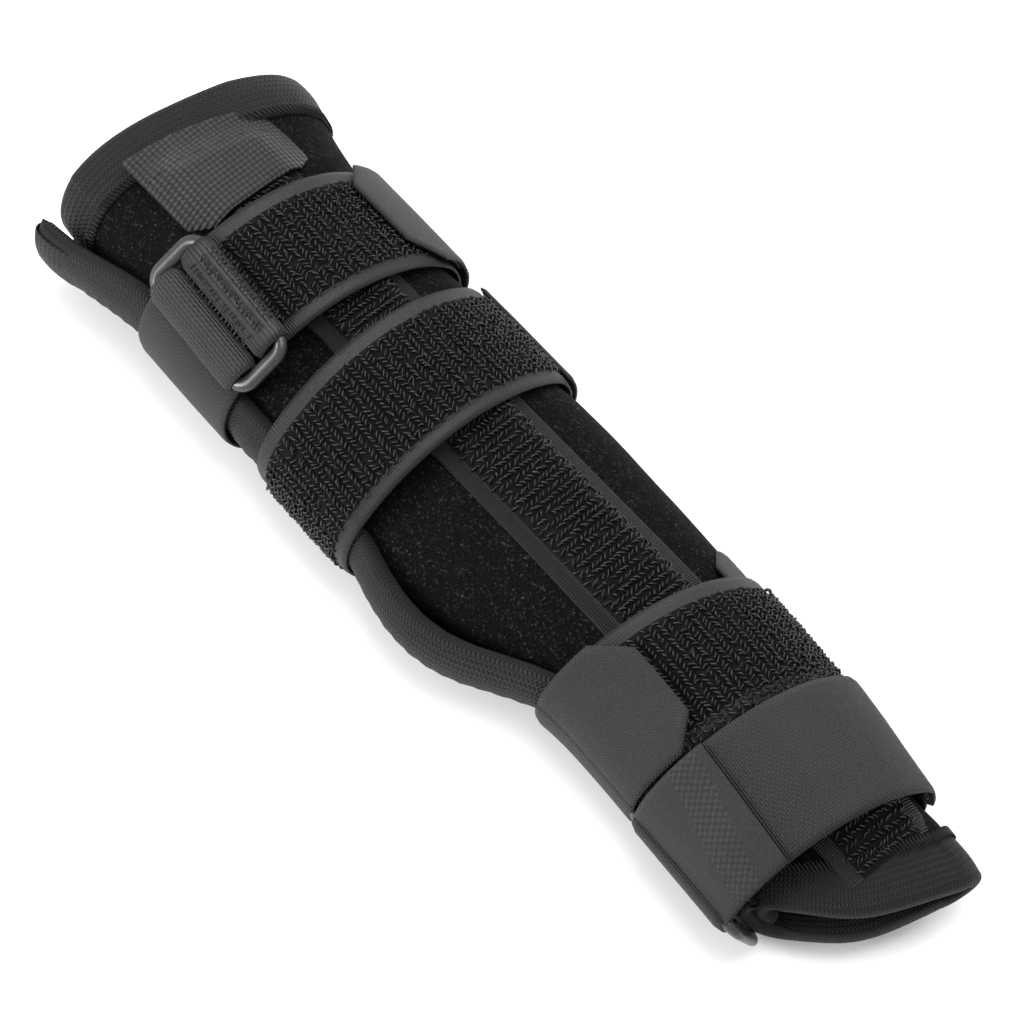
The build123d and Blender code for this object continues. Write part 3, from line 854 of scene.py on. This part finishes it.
def padding(x, j):
    """How far the padding stands out at x on line j of the chain, with a slight ripple."""
    y, _ = chain_point(x, *SAMPLES[j], 0)
    return puff(x, y) + 0.25 * float(wobble(x, S_MM[j], 3))


def wrap_mesh():
    """The panel: outside, inside at its thickness below, and the rim that joins them."""
    cols, n = 150, len(SAMPLES)
    verts = []
    for off, share in ((0.0, 1), (-WRAP, 0.4)):
        for j, (k, f) in enumerate(SAMPLES):
            xf, xn = ENDS[j]
            hidden = k == INNER or (k == LIP and off < 0)
            for t in np.linspace(0, 1, cols):
                x = xf + (xn - xf) * t
                swell = 0 if hidden else padding(x, j) * share
                verts.append((x, *chain_point(x, k, f, off + swell * 0.8)))
    uvs = [(v[0], S_MM[(i % (n * cols)) // cols]) for i, v in enumerate(verts)]
    faces, face_mats = [], []
    under = n * cols
    for j in range(n - 1):
        for i in range(cols - 1):
            a = j * cols + i
            b = a + under
            faces.append((a, a + 1, a + cols + 1, a + cols))
            faces.append((b, b + cols, b + cols + 1, b + 1))
            face_mats += [0, 1]
    for j in range(n - 1):
        a, b = j * cols, (j + 1) * cols
        faces.append((a, b, b + under, a + under))
        a, b = a + cols - 1, b + cols - 1
        faces.append((b, a, a + under, b + under))
        face_mats += [2, 2]
    for i in range(cols - 1):
        faces.append((i + 1, i, i + under, i + 1 + under))
        a = (n - 1) * cols + i
        faces.append((a, a + 1, a + 1 + under, a + under))
        face_mats += [2, 2]
    return new_object("wrap", verts, faces, uvs, [PILE, LINING, KNIT], face_mats)


wrap = keep(wrap_mesh(), "splint", "wrap_outer_fabric", "wrap_foam_core", "wrap_lining", slot="pile_fabric")


def surface(x, j, off):
    """Wrap surface at x on chain line j, with its padding: outside, or inside where off is negative."""
    k, f = SAMPLES[j]
    swell = 0 if k == INNER else padding(x, j) * 0.8
    if off < 0:
        swell *= 0.4 if k not in (INNER, LIP) else 0
        return chain_point(x, k, f, -WRAP + off + swell)
    return chain_point(x, k, f, off + swell)


def nose(radius, shift=0.0):
    """Half circle that a folded tape makes round an edge, as (distance from the edge, side) pairs."""
    angles = np.radians(np.linspace(90, -90, 9))
    return [(-radius * math.cos(a) + shift, math.sin(a)) for a in angles]


def knit_tape(name, verts, uvs, rows, cols):
    obj = new_object(name, verts, tube_grid(rows, cols, closed=False), uvs, [KNIT])
    solid = obj.modifiers.new("thickness", "SOLIDIFY")
    solid.thickness, solid.offset = BINDING_SHEET / 1000, -1
    return obj


def end_binding(name, far):
    """Knit tape folded over one end: across the outside, round the edge and back inside."""
    verts, uvs = [], []
    prof = [(d, 1) for d in np.linspace(BINDING_WIDTH, 1.2, 12)]
    prof += nose(1.6, 0.2)
    prof += [(d, -1) for d in np.linspace(1.2, BINDING_WIDTH, 12)]
    into = 1 if far else -1
    for j in range(len(SAMPLES)):
        edge = ENDS[j][0 if far else 1]
        for d, side in prof:
            x = edge + into * d
            y0, z0 = surface(x, j, 0.15)
            y1, z1 = surface(x, j, -0.15)
            puck = 0.12 * math.sin(S_MM[j] * 1.1) * smoothstep(6, 14, d)
            plump = 0.55 * float(1 - smoothstep(0, BINDING_WIDTH, abs(d - 5) * 1.6))
            plump += 0.35 * float(1 - smoothstep(11.5, 14, d))
            m = (side + 1) / 2
            oy, oz = y0 - y1, z0 - z1
            length = math.hypot(oy, oz) or 1
            push = side * (0.1 + plump + puck)
            verts.append((x, y1 + oy * m + oy / length * push, z1 + oz * m + oz / length * push))
            uvs.append((S_MM[j], d if side > 0 else -d))
    return knit_tape(name, verts, uvs, len(SAMPLES), len(prof))


keep(end_binding("binding_forearm", True), "splint", "binding_forearm_end", slot="knit_binding")
keep(end_binding("binding_hand", False), "splint", "binding_hand_end", slot="knit_binding")


def edge_binding(name, lip):
    """Knit tape folded over a long edge of the panel."""
    if lip:
        xs, width, k, arc = np.linspace(X_FAR + 3.6, X_NEAR - 34, 180), BINDING_WIDTH, LIP, 3
    else:
        xs, width, k, arc = np.linspace(X_FAR + 14, X_NEAR - 38, 80), 5.0, INNER, 0
    prof = [(d, 1) for d in np.linspace(width, 1.0, 12)] + nose(1.7)
    prof += [(d, -1) for d in np.linspace(1.0, width, 8)]
    verts, uvs = [], []
    for x in xs:
        cy, _, r, a0, a1 = wrap_arcs(x)[arc]
        span = abs((lip_end(x) if lip else a1) - a0)
        taper = min(x - xs[0], xs[-1] - x, 4.5) / 4.5
        taper = math.sqrt(max(0.0, 1 - (1 - taper) ** 2))
        for d, side in prof:
            turn = math.degrees(d / r) / span
            plump = 0.5 * float(1 - smoothstep(0, width, abs(d - width * 0.4) * 1.6)) + 0.3
            swell = 0.7 * float(puff(x, cy - r)) if lip and side > 0 else 0.0
            puck = 0.14 * math.sin(x * 1.3) * float(smoothstep(width * 0.4, width, d))
            out = side * (WRAP / 2 + (plump + puck if lip else plump * 0.4)) + swell
            y, z = chain_point(x, k, 1 - turn if lip else turn, -WRAP / 2 + out * taper)
            verts.append((x, y, z))
            uvs.append((x, d * side))
    return knit_tape(name, verts, uvs, len(xs), len(prof))


keep(edge_binding("binding_lip", True), "splint", "binding_lip_edge", slot="knit_binding")
keep(edge_binding("binding_inner", False), "splint", "binding_inner_edge", slot="knit_binding")


# ---- pocket ---------------------------------------------------------------------------------------

def top_z(x, y):
    """Height of the wrap's top or right side over y."""
    cy, cz, r, _, a_right = wrap_arcs(x)[1]
    fy, fz, fr = wrap_arcs(x)[2][:3]
    if y > fy + fr * math.cos(math.radians(a_right)):
        return fz + math.sqrt(max(fr * fr - (y - fy) ** 2, 0.0))
    return cz + math.sqrt(r * r - (y - cy) ** 2)


def pocket_height(x, y):
    """Top of the loop tape over the stay: a soft hat between its two sewn edges."""
    d = abs(y - POCKET_Y)
    low = top_z(x, y) + 0.1 + POCKET_TAPE * CLOTH_SHARE
    high = crown(x) + POCKET_ROOM + POCKET_TAPE * CLOTH_SHARE
    t = step(POCKET_WIDTH / 2 - 3.6, POCKET_FLAT / 2 - 0.6, d) * (1 - step(125.0, 134.0, x))
    return low + (high - low) * t + 0.5 * step(122.0, 130.0, x) - drop(x, TOP, 0)


def pocket_span(x):
    """Left and right edges of the loop tape; near the hand end the panel's side cuts it off."""
    right = min(POCKET_WIDTH / 2, profile(x)[1] - 1.5 - POCKET_Y)
    return -POCKET_WIDTH / 2, right


def pocket_sampler(s, w, off):
    """Points and normals over the loop tape, for its loops."""
    s, w = np.asarray(s, float), np.asarray(w, float)
    near = 0.4

    def heights(shift):
        return np.array([pocket_height(a, POCKET_Y + b + shift) for a, b in zip(s, w)])
    slope = (heights(near) - heights(-near)) / (2 * near)
    n = np.stack([np.full(s.shape, 0.067), -slope, np.ones(s.shape)], -1)
    n /= np.linalg.norm(n, axis=-1, keepdims=True)
    return np.stack([s, POCKET_Y + w, heights(0.0)], -1) + n * np.asarray(off, float)[..., None], n


def in_pocket(s, w):
    """Where the loop tape isn't cut off by the panel's side."""
    return w < np.vectorize(lambda x: pocket_span(x)[1])(s) - 0.6


def pocket_mesh():
    xs = np.linspace(POCKET_START, POCKET_END, 150)
    verts, uvs = [], []
    for x in xs:
        ws = np.linspace(*pocket_span(x), 41)
        z = [pocket_height(x, POCKET_Y + w) for w in ws]
        verts += [(x, POCKET_Y + w, h) for w, h in zip(ws, z)]
        verts += [(x, POCKET_Y + w, h - POCKET_TAPE * 0.6) for w, h in zip(ws[::-1], z[::-1])]
        uvs += [(x, w) for w in ws] + [(x, w) for w in ws[::-1]]
    plain = POCKET_WIDTH / 2 - SELVEDGE_WIDTH
    row = [int(abs(a + b) / 2 > plain) for a, b in zip(ws, ws[1:])] + [1] * (len(ws) + 1)
    face_mats = row * (len(xs) - 1) + [1, 1]
    faces = tube_grid(len(xs), 2 * len(ws))
    return new_object("pocket_cloth", verts, faces, uvs, [GROUND, SELVEDGE], face_mats)


pocket = keep(pocket_mesh(), "splint", "pocket_loop_strip", slot="loop_tape")
fluff = loops("pocket_loops", pocket_sampler, POCKET_START, POCKET_END - 1, -10.2, 10.6, 0.0,
              inside=in_pocket)
keep(fluff, "splint", slot="loop_tape")


def tab_height(x, y, lift):
    """Height of the woven tab's underside: on the wrap at the seam, over the pocket towards its free edge."""
    d = abs(y - POCKET_Y)
    low = top_z(x, y) + 0.9
    high = crown(x) + TAB_RISE - 0.4
    side = float(smoothstep(TAB_WIDTH / 2 + 1, POCKET_WIDTH / 2 - 6.5, d))
    return low + (high - low) * side * lift


def tab_mesh(name, s0, s1, body, node, chamfer):
    """The pocket tab's sewn foot, or its flap with chamfered corners, from s0 to s1."""
    rows, cols = 26, 41
    verts, uvs = [], []
    for t in np.linspace(0, 1, rows):
        top, low, uv = [], [], []
        for v in np.linspace(-1, 1, cols):
            half = TAB_WIDTH / 2
            if chamfer:
                half -= TAB_CORNER * max(0.0, (t - 0.74) / 0.26)
            w = v * half
            xa = s0 + TAB_SLANT * w
            xb = s1 + (0 if chamfer else TAB_SLANT * w)
            x = xa + (xb - xa) * t
            ramp = float(smoothstep(TAB_SEAM_X + 3, TAB_HINGE_X + 4, x - TAB_SLANT * w * 0.9))
            z = tab_height(x, POCKET_Y + w, ramp) + 0.12 * float(wobble(x * 2, w * 2, 5))
            edge = max(0.0, abs(v) * half - half + 0.7) / 0.7
            top.append((x, POCKET_Y + w, z + WEB - 0.3 * edge))
            low.append((x, POCKET_Y + w, z))
            uv.append((x, w))
        verts += top + low[::-1]
        uvs += uv + uv[::-1]
    obj = new_object(name, verts, tube_grid(rows, 2 * cols), uvs, [BASKET])
    keep(obj, body, node, slot="grey_webbing")


tab_mesh("tab_foot", TAB_SEAM_X, TAB_HINGE_X - 0.1, "splint", "pocket_tab_foot", False)
tab_mesh("tab_flap", TAB_HINGE_X + 0.1, TAB_FREE_X, "pocket_tab", "pocket_tab", True)

for node, mat in (("stay_blade", METAL), ("stay_tips", TIP), ("pocket_tab_hook", HOOKS)):
    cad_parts[node].data.materials.clear()
    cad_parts[node].data.materials.append(mat)


# ---- stitching ------------------------------------------------------------------------------------

def thread(name, points):
    """Yarn through a list of points, as a mesh tube."""
    pts = np.array(points)
    verts = []
    tan = np.gradient(pts, axis=0)
    tan /= np.linalg.norm(tan, axis=1, keepdims=True) + 1e-9
    for p, t in zip(pts, tan):
        a = np.cross(t, (0, 0, 1.0))
        a /= np.linalg.norm(a) + 1e-9
        b = np.cross(t, a)
        verts += [p + (a * math.cos(c) + b * math.sin(c)) * THREAD_RADIUS
                  for c in np.linspace(0, 2 * math.pi, 5)[:-1]]
    return keep(new_object(name, verts, tube_grid(len(pts), 4), None, [THREAD]), "splint")


ZIG_NEAR, ZIG_FAR = 11.2, 14.2          # distances of the zigzag's corners from the end
ZIG_FIRST, ZIG_LAST = 14, 108           # lines of the chain that it runs between


def end_zigzag(name, far):
    pts = []
    for j in range(ZIG_FIRST, ZIG_LAST):
        for d in (ZIG_FAR, ZIG_NEAR):
            x = ENDS[j][0] + d if far else ENDS[j][1] - d
            pts.append((x, *surface(x, j, 1.25)))
    thread(name, pts)


end_zigzag("stitch_forearm", True)
end_zigzag("stitch_hand", False)


# ---- floor, light, camera ---------------------------------------------------------------------------

def floor_material():
    n = Nodes("floor")
    return n.finish(n.ramp(n.noise(3, 2), [(0.3, 0.86), (0.7, 0.9)]), 0.9, specular=0.1)


bpy.ops.mesh.primitive_plane_add(size=8, location=(0, 0, -0.0003))
floor = bpy.context.object
floor.name = "floor"
floor.data.materials.append(floor_material())

world = bpy.data.worlds.new("studio")
bpy.context.scene.world = world
world.use_nodes = True
world.node_tree.nodes["Background"].inputs[0].default_value = (1, 1, 1, 1)
world.node_tree.nodes["Background"].inputs[1].default_value = 0.8


def area_light(name, place, size, power):
    """A square lamp that points at the part."""
    light = bpy.data.lights.new(name, "AREA")
    light.shape, light.size, light.energy = "SQUARE", size, power
    obj = bpy.data.objects.new(name, light)
    obj.location = place
    obj.rotation_euler = (Vector((0, 0, 0.02)) - Vector(place)).to_track_quat("-Z", "Y").to_euler()
    bpy.context.scene.collection.objects.link(obj)


area_light("key_left", (-0.5, -1.0, 0.5), 0.6, 19)
area_light("top", (0.1, 0.25, 1.3), 0.9, 12)
area_light("right_back", (-0.4, 1.0, 0.7), 0.7, 10)

AZ, EL, DISTANCE = math.radians(48.63), math.radians(60.0), 1.050
FRAME, FOCAL, CENTRE = 1024, 3994, (504.85, 520.88)      # picture's side, focal length and optical centre
target = Vector((0, 0, 0.020)) + Vector(SHIFT * 0.001)
back = Vector((math.sin(AZ) * math.cos(EL), -math.cos(AZ) * math.cos(EL), math.sin(EL)))
camera = bpy.data.cameras.new("camera")
camera.sensor_width = 36
camera.lens = FOCAL / FRAME * 36
camera.shift_x = (FRAME / 2 - CENTRE[0]) / FRAME
camera.shift_y = (CENTRE[1] - FRAME / 2) / FRAME
camera_obj = bpy.data.objects.new("camera", camera)
camera_obj.location = target + back * DISTANCE
camera_obj.rotation_euler = (-back).to_track_quat("-Z", "Y").to_euler()
bpy.context.scene.collection.objects.link(camera_obj)
bpy.context.scene.camera = camera_obj
bpy.context.scene.view_settings.view_transform = "Standard"
